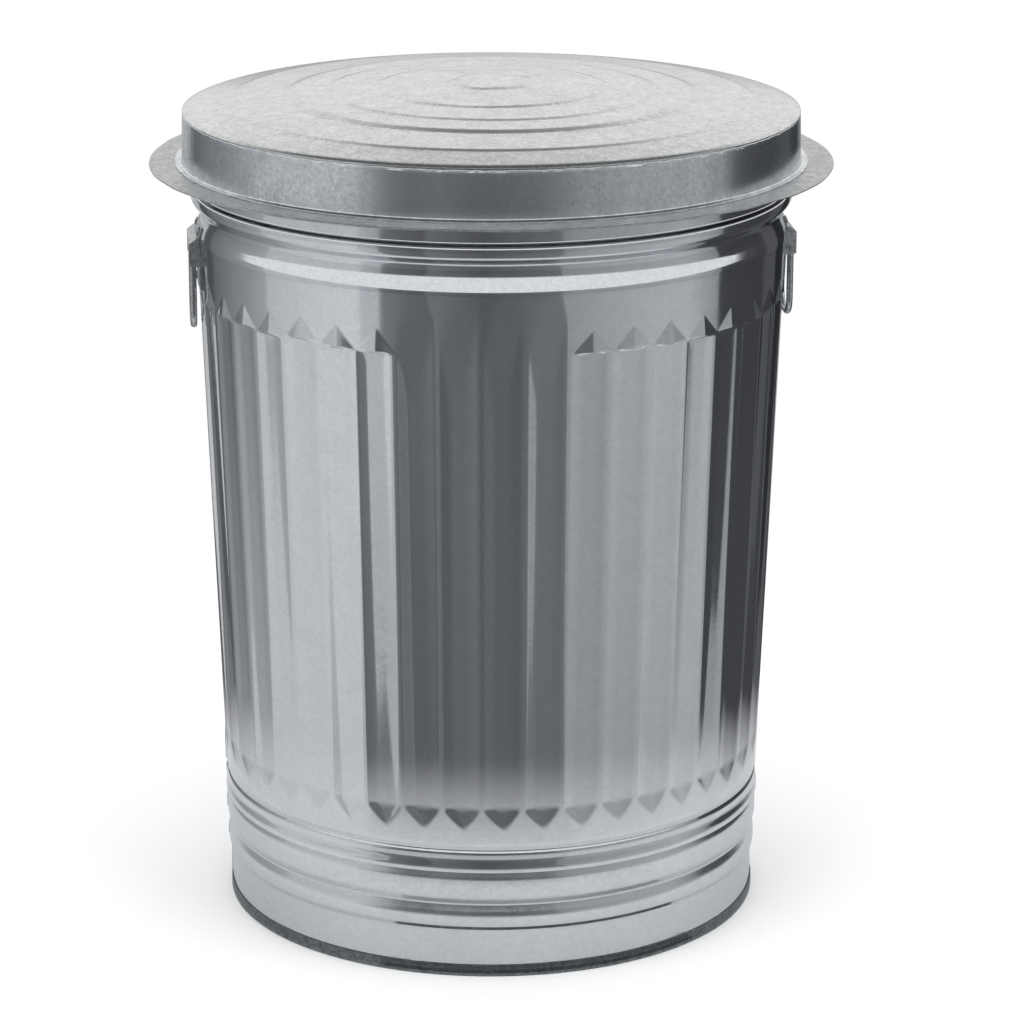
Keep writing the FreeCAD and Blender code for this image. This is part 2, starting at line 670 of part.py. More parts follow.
def make_rivets(side):
    """Domed rivets with their upset ends inside the wall, as one group."""
    label = side + "_rivets"
    grip = "(ear_sheet + lap_gap + can_sheet + lap_gap)"
    inner_head = "0.8 * rivet_head_radius"
    group = []
    for number, (face, outward) in enumerate(rivet_seats(), start=1):
        name = "%s_%d" % (label, number)
        body = document.addObject("PartDesign::Body", name)
        # Heights count from the upset end, so that none of them is negative.
        upset = "(rivet_head_height * 0.7)"
        rise = "(%s + %s)" % (upset, grip)
        profile = outline(body, name + "_outline", (
            ("0", "0"),
            (inner_head, "0"),
            (inner_head, upset),
            ("rivet_radius", upset),
            ("rivet_radius", rise),
            ("rivet_head_radius", rise),
            ("rivet_head_radius * 0.9", rise + " + rivet_head_height * 0.45"),
            ("rivet_head_radius * 0.5", rise + " + rivet_head_height * 0.9"),
            ("0", rise + " + rivet_head_height"),
        ))
        spun(body, profile, name + "_turned")
        sheets = size("ear_sheet") + size("can_sheet") + 2 * size("lap_gap")
        below = size("rivet_head_height") * 0.7 + sheets
        place = side_turn(side).multVec(face - outward * (below - size("lap_gap") / 2))
        direction = side_turn(side).multVec(outward)
        turn = FreeCAD.Rotation(FreeCAD.Vector(0, 0, 1), direction)
        body.Placement = FreeCAD.Placement(place, turn)
        group.append(body)
    rivets = document.addObject("Part::Compound", label)
    rivets.Links = group
    return rivets


# ---- lid ----


def make_lid_top():
    """Crown pressed in ring-shaped steps, with a flange that fits inside the side."""
    edge_top = CROWN_EDGE
    flange = "(lid_radius - lid_sheet - lap_gap)"
    over_rim = "(collar_radius + 2 * wire_radius)"
    top = [("0", "%s + crown_rise" % edge_top)]
    for across, up in CROWN_STEPS:
        top.append(("%g * lid_radius" % across, "%s + %g * crown_rise" % (edge_top, up)))
    top.append((over_rim, "%s + crown_lip * 0.75" % edge_top))
    under = [(radius, height + " - lid_sheet") for radius, height in top]
    edge = [
        ("lid_radius", edge_top),
        ("lid_radius", "%s - lid_sheet" % edge_top),
        (flange, "%s - lid_sheet" % edge_top),
        (flange, "%s - crown_drop" % edge_top),
        (flange + " - lid_sheet", "%s - crown_drop" % edge_top),
        (flange + " - lid_sheet", "%s - lid_sheet" % edge_top),
    ]
    return spun_body("lid_top", top + edge + under[::-1])


def make_lid_band():
    """Upright side of the lid, flared a little and turned out in a flange at the foot."""
    head = "%s - lid_sheet - lap_gap * 4" % CROWN_EDGE
    foot = "(lid_radius + lid_flare)"
    points = (
        ("lid_radius", head),
        (foot, "%s + lid_sheet" % LID_FOOT),
        (foot + " + lid_flange", "%s + lid_sheet" % LID_FOOT),
        (foot + " + lid_flange", LID_FOOT),
        (foot + " - lid_sheet", LID_FOOT),
        ("lid_radius - lid_sheet", head),
    )
    return spun_body("lid_band", points)


def make_lid_brim():
    """Flat ring under the flange; its outer edge is folded under."""
    inside = "(lid_radius + lid_flare - lid_sheet)"
    top = "(%s - lap_gap)" % LID_FOOT
    points = (
        (inside, top),
        ("brim_radius", top),
        ("brim_radius", top + " - 2 * lid_sheet"),
        ("brim_radius - brim_hem", top + " - 2 * lid_sheet"),
        ("brim_radius - brim_hem", top + " - lid_sheet"),
        (inside, top + " - lid_sheet"),
    )
    return spun_body("lid_brim", points)


# ---- assembly ----

parts = [make_foot_hoop(), make_base_band(), make_base_pan()]
right_holes = make_rivet_holes("right")
left_holes = make_rivet_holes("left")
all_holes = document.addObject("Part::Compound", "all_rivet_holes")
all_holes.Links = [right_holes, left_holes]
parts += [make_can_wall(all_holes), make_rim_wire()]
for side, side_holes in (("left", left_holes), ("right", right_holes)):
    parts += [make_ear(side, side_holes), make_rivets(side), make_bail(side)]
parts += [make_lid_top(), make_lid_band(), make_lid_brim()]
document.recompute()

for item in document.Objects:
    if "Invalid" in item.State or "Error" in item.State:
        raise RuntimeError("%s did not build: %s" % (item.Label, item.State))

os.makedirs("parts", exist_ok=True)
for part in parts:
    shape = part.Shape
    if shape.isNull() or not shape.isValid():
        raise RuntimeError("%s has no valid shape" % part.Label)
    print(part.Label, len(shape.Solids), "solids,", round(shape.Volume), "mm3,", shape.BoundBox)
    shape.exportStep("parts/%s.step" % part.Label)
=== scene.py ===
import math
import random

import bmesh
import bpy
import numpy as np
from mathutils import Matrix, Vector


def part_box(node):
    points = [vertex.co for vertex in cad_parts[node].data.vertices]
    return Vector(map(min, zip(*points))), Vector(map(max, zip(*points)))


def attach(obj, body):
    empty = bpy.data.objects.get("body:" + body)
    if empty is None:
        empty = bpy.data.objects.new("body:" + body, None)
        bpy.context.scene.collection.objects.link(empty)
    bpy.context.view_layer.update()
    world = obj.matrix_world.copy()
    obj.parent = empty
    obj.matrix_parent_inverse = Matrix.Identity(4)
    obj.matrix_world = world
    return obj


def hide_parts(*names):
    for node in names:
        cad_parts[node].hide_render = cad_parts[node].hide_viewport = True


bl_info = {
    "name": "Galvanised dustbin",
    "version": (1, 0, 0),
    "blender": (4, 5, 0),
    "location": "View3D > Sidebar > Dustbin",
    "description": "Dresses a galvanised dustbin with sheet-metal pieces and finishes",
    "category": "Object",
}

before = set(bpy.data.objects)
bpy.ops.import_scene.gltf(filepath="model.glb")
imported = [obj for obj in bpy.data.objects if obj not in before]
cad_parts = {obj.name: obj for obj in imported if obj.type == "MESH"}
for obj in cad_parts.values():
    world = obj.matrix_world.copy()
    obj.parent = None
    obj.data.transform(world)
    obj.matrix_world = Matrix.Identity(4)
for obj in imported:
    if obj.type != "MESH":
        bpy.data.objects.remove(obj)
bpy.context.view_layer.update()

MM = 0.001  # one millimetre, in the scene's metres


def box_radius(node):
    """Outside radius of a round CAD node, in millimetres."""
    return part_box(node)[1].x / MM


def box_heights(node):
    """Lowest and highest point of a CAD node, in millimetres."""
    low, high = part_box(node)
    return low.z / MM, high.z / MM


HOOP_RADIUS = box_radius("foot_hoop")
HOOP_TOP = box_heights("foot_hoop")[1]
BAND_FOOT = box_heights("base_band")[0]
WALL_FOOT, RIM_TOP = box_heights("can_wall")
LID_RADIUS = box_radius("lid_top")
CROWN_TOP = box_heights("lid_top")[1]
SIDE_FOOT, SIDE_TOP = box_heights("lid_band")
BRIM_RADIUS = box_radius("lid_brim")
BRIM_FOOT, BRIM_TOP = box_heights("lid_brim")


def linear(hex_colour):
    """An sRGB hex colour as linear red, green and blue."""
    parts = [int(hex_colour[at:at + 2], 16) / 255 for at in (1, 3, 5)]
    return [part / 12.92 if part <= 0.04045 else ((part + 0.055) / 1.055) ** 2.4 for part in parts]


# ---- what a user may change ----


class BinColourSettings(bpy.types.PropertyGroup):
    """Middle tone of each zinc finish."""

    wall: bpy.props.FloatVectorProperty(
        name="Wall", description="Satin zinc of the fluted wall",
        default=linear("#D4D6D9"), subtype="COLOR")
    band: bpy.props.FloatVectorProperty(
        name="Base band", description="Smooth zinc of the base",
        default=linear("#D4D7DA"), subtype="COLOR")
    crown: bpy.props.FloatVectorProperty(
        name="Crown", description="Mottled zinc of the crown",
        default=linear("#CED0CF"), subtype="COLOR")
    brim: bpy.props.FloatVectorProperty(
        name="Brim", description="Duller zinc of the brim",
        default=linear("#ACAEAE"), subtype="COLOR")
    lid_side: bpy.props.FloatVectorProperty(
        name="Lid side", description="Drawn zinc of the lid's side",
        default=linear("#CCCFD2"), subtype="COLOR")
    # The hoop's dark tone is painted shade of the floor round the foot.
    hoop: bpy.props.FloatVectorProperty(
        name="Foot hoop", description="Dull zinc of the foot hoop",
        default=linear("#707476"), subtype="COLOR")
    ear: bpy.props.FloatVectorProperty(
        name="Ears", description="Pressed plate of the ears",
        default=linear("#B2B5B6"), subtype="COLOR")
    wire: bpy.props.FloatVectorProperty(
        name="Wire", description="Wire of the handles and rim",
        default=linear("#B3B5B6"), subtype="COLOR")
    rivet: bpy.props.FloatVectorProperty(
        name="Rivets", description="Plated steel of the rivets",
        default=linear("#8F9294"), subtype="COLOR")


class BinSheetSettings(bpy.types.PropertyGroup):
    """How the sheet metal is folded and how even it is."""

    sheet: bpy.props.FloatProperty(
        name="Sheet", description="Thickness of the can's sheet", default=0.0008, unit="LENGTH")
    crease: bpy.props.FloatProperty(
        name="Crease", description="Softness of the flutes' creases", default=0.0002, unit="LENGTH")
    ripple: bpy.props.FloatProperty(
        name="Ripple", description="Height of the waves in the pressed sheet", default=0.00009, unit="LENGTH")
    seam_rise: bpy.props.FloatProperty(
        name="Seam", description="How far the upright lock seam stands out", default=0.0011, unit="LENGTH")
    turns: bpy.props.IntProperty(
        name="Facets", description="Mesh facets round a plain turned piece", default=360)


class BinStudioSettings(bpy.types.PropertyGroup):
    """The camera and the lamps."""

    turn: bpy.props.FloatProperty(
        name="Turn", description="Camera's turn from the front towards -X",
        default=math.radians(5.6), subtype="ANGLE")
    tilt: bpy.props.FloatProperty(
        name="Tilt", description="Camera's tilt below the horizon",
        default=math.radians(16.373), subtype="ANGLE")
    distance: bpy.props.FloatProperty(
        name="Distance", description="Camera to the bin's axis", default=3.010, unit="LENGTH")
    height: bpy.props.FloatProperty(
        name="Height", description="Camera above the floor", default=1.1859, unit="LENGTH")
    lens: bpy.props.FloatProperty(name="Lens", description="Focal length in millimetres", default=142.3)
    side_light: bpy.props.FloatProperty(
        name="Side light", description="Power of each side lamp", default=34.0, unit="POWER")
    top_light: bpy.props.FloatProperty(
        name="Top light", description="Power of the overhead lamp", default=42.0, unit="POWER")


# ---- lines and turned meshes, in millimetres ----


def soft_line(corners, steps=6):
    """A line through corners of (radius, height, bend), each rounded off by its bend."""
    line = []
    for index, (radius, height, bend) in enumerate(corners):
        here = Vector((radius, height))
        if not bend:
            line.append(here)
            continue
        back = Vector(corners[index - 1][:2]) - here
        ahead = Vector(corners[index + 1][:2]) - here
        start = here + back.normalized() * min(bend, 0.48 * back.length)
        stop = here + ahead.normalized() * min(bend, 0.48 * ahead.length)
        for step in range(steps + 1):
            share = step / steps
            line.append(start.lerp(here, share).lerp(here.lerp(stop, share), share))
    return line


def spaced(line, longest):
    """The line with points added so that no run is longer than this."""
    out = [line[0]]
    for start, stop in zip(line, line[1:]):
        pieces = max(1, math.ceil((stop - start).length / longest))
        out += [start.lerp(stop, step / pieces) for step in range(1, pieces + 1)]
    return out


def arc(centre, radius, first, last, steps):
    """Points on a circle between two angles in degrees."""
    return [
        Vector((centre[0] + radius * math.cos(angle), centre[1] + radius * math.sin(angle)))
        for angle in np.radians(np.linspace(first, last, steps + 1))
    ]


def set_back(line, thickness):
    """The line moved to its left by a sheet's thickness."""
    moved = []
    for index, here in enumerate(line):
        before = line[max(index - 1, 0)]
        after = line[min(index + 1, len(line) - 1)]
        along = (after - before).normalized()
        moved.append(here + Vector((-along.y, along.x)) * thickness)
    return moved


def sheet_loop(line, thickness):
    """Closed outline of a bent sheet, and how far each point lies behind its face."""
    back = set_back(line, thickness)
    return line + back[::-1], [0.0] * len(line) + [thickness] * len(line)


def turned(name, loop, turns, warp=None, start=0.0, closed=True):
    """A mesh turned round the upright axis; warp may bend it by angle and height."""
    count = len(loop)
    angles = start + np.arange(turns)[:, None] * (2 * math.pi / turns)
    radii = np.tile([point[0] for point in loop], (turns, 1))
    heights = np.tile([point[1] for point in loop], (turns, 1))
    if warp:
        radii, heights = warp(angles, radii, heights)
    places = np.stack((radii * np.cos(angles), radii * np.sin(angles), heights), axis=-1)
    column = np.arange(turns)[:, None]
    row = np.arange(count if closed else count - 1)[None, :]
    beside = (column + 1) % turns
    above = (row + 1) % count
    quads = np.stack(np.broadcast_arrays(
        column * count + row, beside * count + row, beside * count + above, column * count + above,
    ), axis=-1).reshape(-1, 4)
    mesh = bpy.data.meshes.new(name)
    mesh.from_pydata((places.reshape(-1, 3) * MM).tolist(), [], quads.tolist())
    return smooth_piece(name, mesh, close_poles=not closed)


def smooth_piece(name, mesh, close_poles):
    """Clean a mesh, shade it smooth with sharp cut edges, and put it in the scene."""
    sharpest_bend = math.radians(38.0)
    if close_poles:
        work = bmesh.new()
        work.from_mesh(mesh)
        poles = [vert for vert in work.verts if vert.co.xy.length < 1e-6]
        bmesh.ops.remove_doubles(work, verts=poles, dist=1e-6)
        work.to_mesh(mesh)
        work.free()
    mesh.validate()
    mesh.shade_smooth()
    mesh.set_sharp_from_angle(angle=sharpest_bend)
    piece = bpy.data.objects.new(name, mesh)
    bpy.context.scene.collection.objects.link(piece)
    return piece


def dress(piece, material, slot, body, *nodes):
    """Give a finished piece its material, its body and the CAD nodes it stands for."""
    piece.data.materials.append(material)
    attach(piece, body)
    if nodes:
        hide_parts(*nodes)


def soft_less(first, second, width):
    """The lesser of two fields, blended where they cross."""
    share = np.clip(0.5 + 0.5 * (second - first) / width, 0.0, 1.0)
    return second + (first - second) * share - width * share * (1.0 - share)


def soft_more(first, second, width):
    """The greater of two fields, blended where they cross."""
    return -soft_less(-first, -second, width)


def bump_at(angle, middle, half_width):
    """One inside a half width of an angle, falling smoothly to nought past it."""
    away = np.abs((angle - middle + math.pi) % (2 * math.pi) - math.pi)
    share = np.clip(2.0 - away / half_width, 0.0, 1.0)
    return share * share * (3 - 2 * share)


def waves(seed, count, lowest, highest, tall):
    """Round-the-bin waves as (turns, height factor, phase, share), from a fixed seed."""
    draw = random.Random(seed)
    return [
        (draw.randint(lowest, highest), draw.uniform(-tall, tall), draw.uniform(0, 6.28),
         draw.uniform(0.4, 1.0))
        for _ in range(count)
    ]


def ripple(angle, height, kind):
    """Uneven waves of about unit height, as pressed sheet has."""
    total = 0.0
    for turns, rise, phase, share in kind:
        total = total + share * np.sin(turns * angle + rise * height + phase)
    return total / math.sqrt(len(kind))


# ---- can wall ----

# Millimetres, apart from counts and angles.
FLUTES = 44
BLUNT_FLUTES = 4  # blunt-topped ones, at the front
COLUMNS_PER_FLUTE = 30  # mesh columns
CONE_FOOT = WALL_FOOT + 14.58
CONE_HEIGHT = 429.3
CONE_SPREAD = 16.0  # how much wider the taper is at its top
WALL_RADIUS = 207.6
CREASE_HEIGHT = CONE_FOOT + CONE_HEIGHT
CREASE_RADIUS = WALL_RADIUS + CONE_SPREAD
NECK_RADIUS = CREASE_RADIUS - 3.3
BEAD_RADIUS = 227.3
COLLAR_RADIUS = 224.0
FLUTE_LOW = CONE_FOOT + 18.5
FLUTE_HIGH = FLUTE_LOW + 382.0
FLUTE_POINT_LOW = 16.0
FLUTE_POINT_HIGH = 18.0
FLUTE_DEPTH = 1.3
FLUTE_FLOOR = 8.0
FLUTE_SHIFT = 0.75
FLUTE_TILT = math.tan(math.radians(5.0))
CREST_DROP = 0.12
TIP_RISE = 2.4  # how far the dart at a flute's upper end is pushed out
TIP_BLEND = 0.09  # share of the dart's height in which it takes over from the hollow
BLUNT_DROP = 16.5
BLUNT_SLOPE = 7.6
FLUTE_TURN = math.radians(6.9)
SEAM_ANGLE = math.radians(176.6)
EAR_REACH = 0.975  # cosine of the turn from an ear at which the darts begin to flatten
EAR_BLEND = 0.015
HALF_PITCH = math.pi / FLUTES
RIM_WIRE = 2.5
RIM_GAP = 0.12


def cone_radius(height):
    """Outside radius of the tapering wall at a height."""
    return WALL_RADIUS + (height - CONE_FOOT) * CONE_SPREAD / CONE_HEIGHT


def facing_out(corners, inside):
    """Plane through three corners, as a unit direction away from inside and its offset."""
    first, second, third = corners
    normal = (second - first).cross(third - first).normalized()
    if normal.dot(inside - first) > 0:
        normal = -normal
    return normal, normal.dot(first)


def flute_planes(blunt):
    """Planes that bound the hollow of one flute, about the +X axis."""
    low_end = FLUTE_LOW + FLUTE_POINT_LOW
    high_end = FLUTE_HIGH - (BLUNT_DROP if blunt else FLUTE_POINT_HIGH)
    run = cone_radius(low_end) * math.sin(HALF_PITCH) - FLUTE_FLOOR / 2

    def crest(height, side):
        radius = cone_radius(height) - CREST_DROP
        return Vector((radius * math.cos(HALF_PITCH), side * radius * math.sin(HALF_PITCH), height))

    def floor(height, side):
        across = side * (cone_radius(height) * math.sin(HALF_PITCH) - run) + FLUTE_SHIFT
        level = height + FLUTE_DEPTH * CONE_SPREAD / CONE_HEIGHT
        return Vector((cone_radius(height) - FLUTE_DEPTH + across * FLUTE_TILT, across, level))

    half_way = (low_end + high_end) / 2
    middle = Vector((cone_radius(half_way), 0, half_way))
    planes = [facing_out((floor(low_end, 1), floor(low_end, -1), floor(high_end, 1)), middle)]
    for side in (-1, 1):
        planes.append(facing_out((crest(low_end, side), crest(high_end, side), floor(low_end, side)), middle))
    ends = [(low_end, FLUTE_LOW)]
    if blunt:
        corners = crest(high_end, -1), crest(high_end, 1), floor(high_end - BLUNT_SLOPE, 1)
        planes.append(facing_out(corners, middle))
    else:
        ends.append((high_end, FLUTE_HIGH))
    for end, tip_height in ends:
        tip = Vector((cone_radius(tip_height), 0, tip_height))
        planes.append(facing_out((floor(end, -1), floor(end, 1), tip), middle))
        for side in (-1, 1):
            planes.append(facing_out((crest(end, side), floor(end, side), tip), middle))
    return planes


def flute_field(turn, height, planes, crease):
    """Radius at which a line from the axis first meets the flute's hollow."""
    field = None
    for normal, offset in planes:
        slant = normal.x * np.cos(turn) + normal.y * np.sin(turn)
        radius = (offset - normal.z * height) / slant
        field = radius if field is None else soft_more(field, radius, crease)
    return field


def wall_rows():
    """Heights of the mesh rows on the tapering wall: close at the flutes' points."""
    def rows(first, last, step):
        return list(np.arange(first, last, step))

    low = FLUTE_LOW - 3, FLUTE_LOW + FLUTE_POINT_LOW + 4
    high = FLUTE_HIGH - FLUTE_POINT_HIGH - 12, FLUTE_HIGH + 3
    return (rows(CONE_FOOT + 9, low[0], 3.0) + rows(*low, 1.0) + rows(low[1], high[0], 14.0)
            + rows(*high, 1.0) + rows(high[1], CREASE_HEIGHT - 6, 4.0))


def wall_line():
    """Outside of the wall sheet from its lower edge up and round the rim's wire."""
    groove = 5.4
    foot = [
        (WALL_RADIUS + 1.2, WALL_FOOT, 0),
        (WALL_RADIUS + 1.2, WALL_FOOT + 3.6, 1.6),
        (WALL_RADIUS, WALL_FOOT + 8.8, 2.0),
        (WALL_RADIUS, CONE_FOOT, 1.4),
        (WALL_RADIUS - 1.3, CONE_FOOT + groove / 2, 1.5),
        (WALL_RADIUS + groove * CONE_SPREAD / CONE_HEIGHT, CONE_FOOT + groove, 1.4),
        (cone_radius(CONE_FOOT + 9), CONE_FOOT + 9, 0),
    ]
    cone = [Vector((cone_radius(height), height)) for height in wall_rows()]
    neck_foot = CREASE_HEIGHT + 11.2
    neck_top = neck_foot + 8.0
    wire_middle = RIM_TOP - RIM_WIRE - RIM_GAP - 0.8
    inner = RIM_WIRE + RIM_GAP
    top = [
        (cone_radius(CREASE_HEIGHT - 6), CREASE_HEIGHT - 6, 0),
        (CREASE_RADIUS, CREASE_HEIGHT, 3.0),
        (NECK_RADIUS, neck_foot, 4.0),
        (NECK_RADIUS, neck_top, 3.0),
        (BEAD_RADIUS, neck_top + 7.0, 3.0),
        (BEAD_RADIUS, neck_top + 14.5, 2.0),
        (COLLAR_RADIUS, neck_top + 16.5, 1.5),
        (COLLAR_RADIUS, wire_middle - 3, 0),
    ]
    curl = arc((COLLAR_RADIUS + RIM_WIRE, wire_middle), inner, 180, -130, 20)
    return spaced(soft_line(foot)[:-1], 6.0) + cone + spaced(soft_line(top), 9.0) + curl


def make_wall(sheets):
    """Fluted wall with its grooves, bead and curled rim, as one bent sheet."""
    crease = sheets.crease / MM
    line = wall_line()
    loop, behind = sheet_loop(line, sheets.sheet / MM)
    behind = np.array(behind)
    pointed, blunt = flute_planes(False), flute_planes(True)
    start = -math.pi / 2 - FLUTE_TURN - HALF_PITCH * BLUNT_FLUTES
    uneven = waves(11, 7, 3, 19, 0.02)
    draw = random.Random(5)
    sway = np.array([draw.uniform(-1.0, 1.0) for _ in range(FLUTES)])

    def warp(angle, radius, height):
        number = np.floor((angle - start) / (2 * HALF_PITCH) + 1e-6).astype(int) % FLUTES
        turn = (angle - start) % (2 * HALF_PITCH) - HALF_PITCH
        depth = 0.07 * sway[number]
        shift = 1.2 * sway[(number * 7 + 3) % FLUTES]
        face = radius + behind
        field_pointed = flute_field(turn, height + shift, pointed, crease)
        field_blunt = flute_field(turn, height, blunt, crease)
        field = np.where(number < BLUNT_FLUTES, field_blunt, field_pointed) + depth
        inside_cone = (height > CONE_FOOT + 7) & (height < CREASE_HEIGHT - 4)
        cut = np.where(inside_cone, soft_less(face, field, crease), face)
        # The hollow ends in a raised dart, roof-shaped, except where it would meet an ear.
        up = (height + shift - FLUTE_HIGH) / FLUTE_POINT_HIGH + 1.0
        pointed_here = (number >= BLUNT_FLUTES) & (up < 1.0)
        past_foot = np.clip(up / TIP_BLEND, 0, 1) * pointed_here
        roof = TIP_RISE * np.clip(1.0 - up - np.abs(turn) / HALF_PITCH, 0, 1)
        beside_ear = np.clip((np.abs(np.cos(angle)) - EAR_REACH) / EAR_BLEND, 0, 1)
        face = cut + past_foot * (1 - beside_ear) * (face - cut + roof)
        tapering = np.clip((height - CONE_FOOT) / 40, 0, 1) * np.clip((RIM_TOP - 50 - height) / 40, 0, 1)
        face = face + sheets.ripple / MM * ripple(angle, height, uneven) * tapering
        above_hem = height > WALL_FOOT + 9.5
        seam = bump_at(angle, SEAM_ANGLE, 0.013) * above_hem * (height < CREASE_HEIGHT - 34)
        notch = bump_at(angle, SEAM_ANGLE, 0.018) * (height < WALL_FOOT + 9.0)
        face = face + np.where(behind == 0, seam * sheets.seam_rise / MM, 0) - notch * 1.2
        return face - behind, height

    columns = FLUTES * COLUMNS_PER_FLUTE
    return turned("fluted_wall", loop, columns, warp, start)


class BIN_OT_wall(bpy.types.Operator):
    """Make the fluted wall"""

    bl_idname = "bin.wall"
    bl_label = "Fluted wall"

    def execute(self, context):
        finish = bright_zinc_sheet(context.scene.bin_colours)
        dress(make_wall(context.scene.bin_sheets), finish, "wall_zinc", "can", "can_wall")
        return {"FINISHED"}


# ---- base: band, foot hoop and pan ----


def make_base_band(sheets):
    """Skirt with two soft pressed ribs and an upright lap seam."""
    radius = HOOP_RADIUS - 1.02
    line = spaced(soft_line([
        (radius, BAND_FOOT, 0),
        (radius - 0.2, 36.6, 1.2),
        (radius + 2.1, 40.8, 1.4),
        (radius + 1.9, 49.5, 3.0),
        (radius - 0.6, 57.0, 1.2),
        (radius + 2.8, 63.2, 1.6),
        (radius + 2.8, 72.0, 4.0),
        (radius + 2.6, 78.4, 1.6),
        (WALL_RADIUS - 1.5, WALL_FOOT - 1.0, 0.8),
        (WALL_RADIUS - 1.0, CONE_FOOT - 0.8, 0),
    ]), 5.0)
    loop, behind = sheet_loop(line, sheets.sheet / MM)
    behind = np.array(behind)
    uneven = waves(23, 7, 2, 15, 0.05)

    def warp(angle, face, height):
        below_wall = height < WALL_FOOT - 3
        soft = np.clip((WALL_FOOT - 6 - height) / 20, 0, 1) * np.clip((height - HOOP_TOP - 2) / 15, 0, 1)
        face = face + 1.3 * sheets.ripple / MM * ripple(angle, height, uneven) * soft
        lap = bump_at(angle, SEAM_ANGLE, 0.012) * below_wall * (height > HOOP_TOP + 1)
        return face + np.where(behind == 0, lap * 0.9, 0), height

    return turned("base_skirt", loop, sheets.turns, warp)


def make_foot_hoop(sheets):
    """Rolled channel round the lower edge, a little uneven where it was closed."""
    inside = HOOP_RADIUS - 3.76
    loop = soft_line([
        (inside, 4.0, 0),
        (inside, 0.0, 1.2),
        (HOOP_RADIUS, 0.0, 1.2),
        (HOOP_RADIUS, 5.0, 1.5),
        (HOOP_RADIUS - 0.25, 7.4, 1.2),
        (HOOP_RADIUS - 0.1, HOOP_TOP - 0.4, 0.5),
        (HOOP_RADIUS - 0.75, HOOP_TOP - 0.15, 0),
        (HOOP_RADIUS - 0.9, HOOP_TOP - 2.0, 0),
        (HOOP_RADIUS - 1.5, 2.0, 0),
        (inside + 0.9, 2.0, 0),
        (inside + 0.9, 4.0, 0),
    ], steps=4)
    uneven = waves(31, 9, 17, 83, 0.0)

    def warp(angle, radius, height):
        knock = np.clip(ripple(angle, 0 * height, uneven) - 0.9, 0, 0.5)
        high = np.clip((height - 5.0) / 4.0, 0, 1) * (radius > inside + 2)
        joint = bump_at(angle, math.radians(-37), 0.006) * high
        return radius - 0.12 * knock * high - 0.35 * joint, height - 0.9 * knock * high

    return turned("foot_roll", loop, 2 * sheets.turns, warp)


class BIN_OT_base(bpy.types.Operator):
    """Make the base band and the foot hoop, and finish the bottom pan"""

    bl_idname = "bin.base"
    bl_label = "Base"

    def execute(self, context):
        sheets, colours = context.scene.bin_sheets, context.scene.bin_colours
        dress(make_base_band(sheets), smooth_zinc_sheet(colours), "band_zinc", "can", "base_band")
        dress(make_foot_hoop(sheets), dull_zinc_hoop_painted_shade(colours), "hoop_zinc", "can", "foot_hoop")
        finish_node("base_pan", smooth_zinc_sheet(colours))
        return {"FINISHED"}


def finish_node(name, material):
    """Give a carried-over CAD node its material."""
    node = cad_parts[name]
    if not node.material_slots:
        node.data.materials.append(material)
    node.material_slots[0].material = material
    return node


# ---- lid ----

LID_SHEET = 0.7
CROWN_EDGE = SIDE_TOP + 1.18
CROWN_RISE = CROWN_TOP - CROWN_EDGE
CROWN_SHOULDER = 229.0  # radius at which the crown turns over to its edge

# Each ring step's foot and head: share of the lid's radius, share of the crown's rise, bend.
CROWN_RINGS = (
    (0.116, 0.97, 1.5), (0.143, 0.90, 1.5), (0.361, 0.80, 1.2), (0.382, 0.745, 1.2),
    (0.520, 0.68, 1.2), (0.541, 0.625, 1.2), (0.645, 0.575, 1.8), (0.680, 0.475, 1.8),
    (0.847, 0.33, 1.2), (0.868, 0.27, 1.2),
)


def make_lid_top(sheets):
    """Crown with pressed ring steps, a turned edge and a flange inside the lid's side."""
    half = LID_SHEET / 2
    flange = LID_RADIUS - LID_SHEET - 0.12
    flange_foot = CROWN_EDGE - 7.0
    corners = [(0.0, CROWN_EDGE + 0.97 * CROWN_RISE, 0)]
    corners += [(across * LID_RADIUS, CROWN_EDGE + up * CROWN_RISE, bend)
                for across, up, bend in CROWN_RINGS]
    corners += [(CROWN_SHOULDER, CROWN_EDGE + 1.2, 3.0), (LID_RADIUS - 0.3, CROWN_EDGE, 0.6)]
    face = spaced(soft_line([*corners, (LID_RADIUS, CROWN_EDGE - half, 0)])[:-1], 4.0)
    face += arc((LID_RADIUS - half, CROWN_EDGE - half), half, 80, -80, 6)
    under = spaced(soft_line([
        (flange + 0.1, CROWN_EDGE - LID_SHEET, 0),
        (flange, CROWN_EDGE - LID_SHEET - 0.4, 0.2),
        (flange, flange_foot, 0),
        (flange - LID_SHEET, flange_foot, 0),
        (flange - LID_SHEET, CROWN_EDGE - LID_SHEET, 0),
    ]), 4.0)
    # The last eight points are the turned edge, which the sheet's back doesn't follow.
    back = [Vector((point[0], point[1] - LID_SHEET)) for point in face[:-8] if point[0] < CROWN_SHOULDER]
    loop = (face + under + back[::-1])[::-1]
    uneven = waves(41, 9, 1, 9, 0.0)

    def warp(angle, radius, height):
        middle = np.clip(1 - radius / 225, 0, 1) * np.clip(radius / 40, 0, 1) * 4
        swell = ripple(angle, 0 * height, uneven) * np.sin(radius / 31.0) * 0.16
        return radius, height + swell * middle

    return turned("lid_crown", loop, sheets.turns, warp, closed=False)


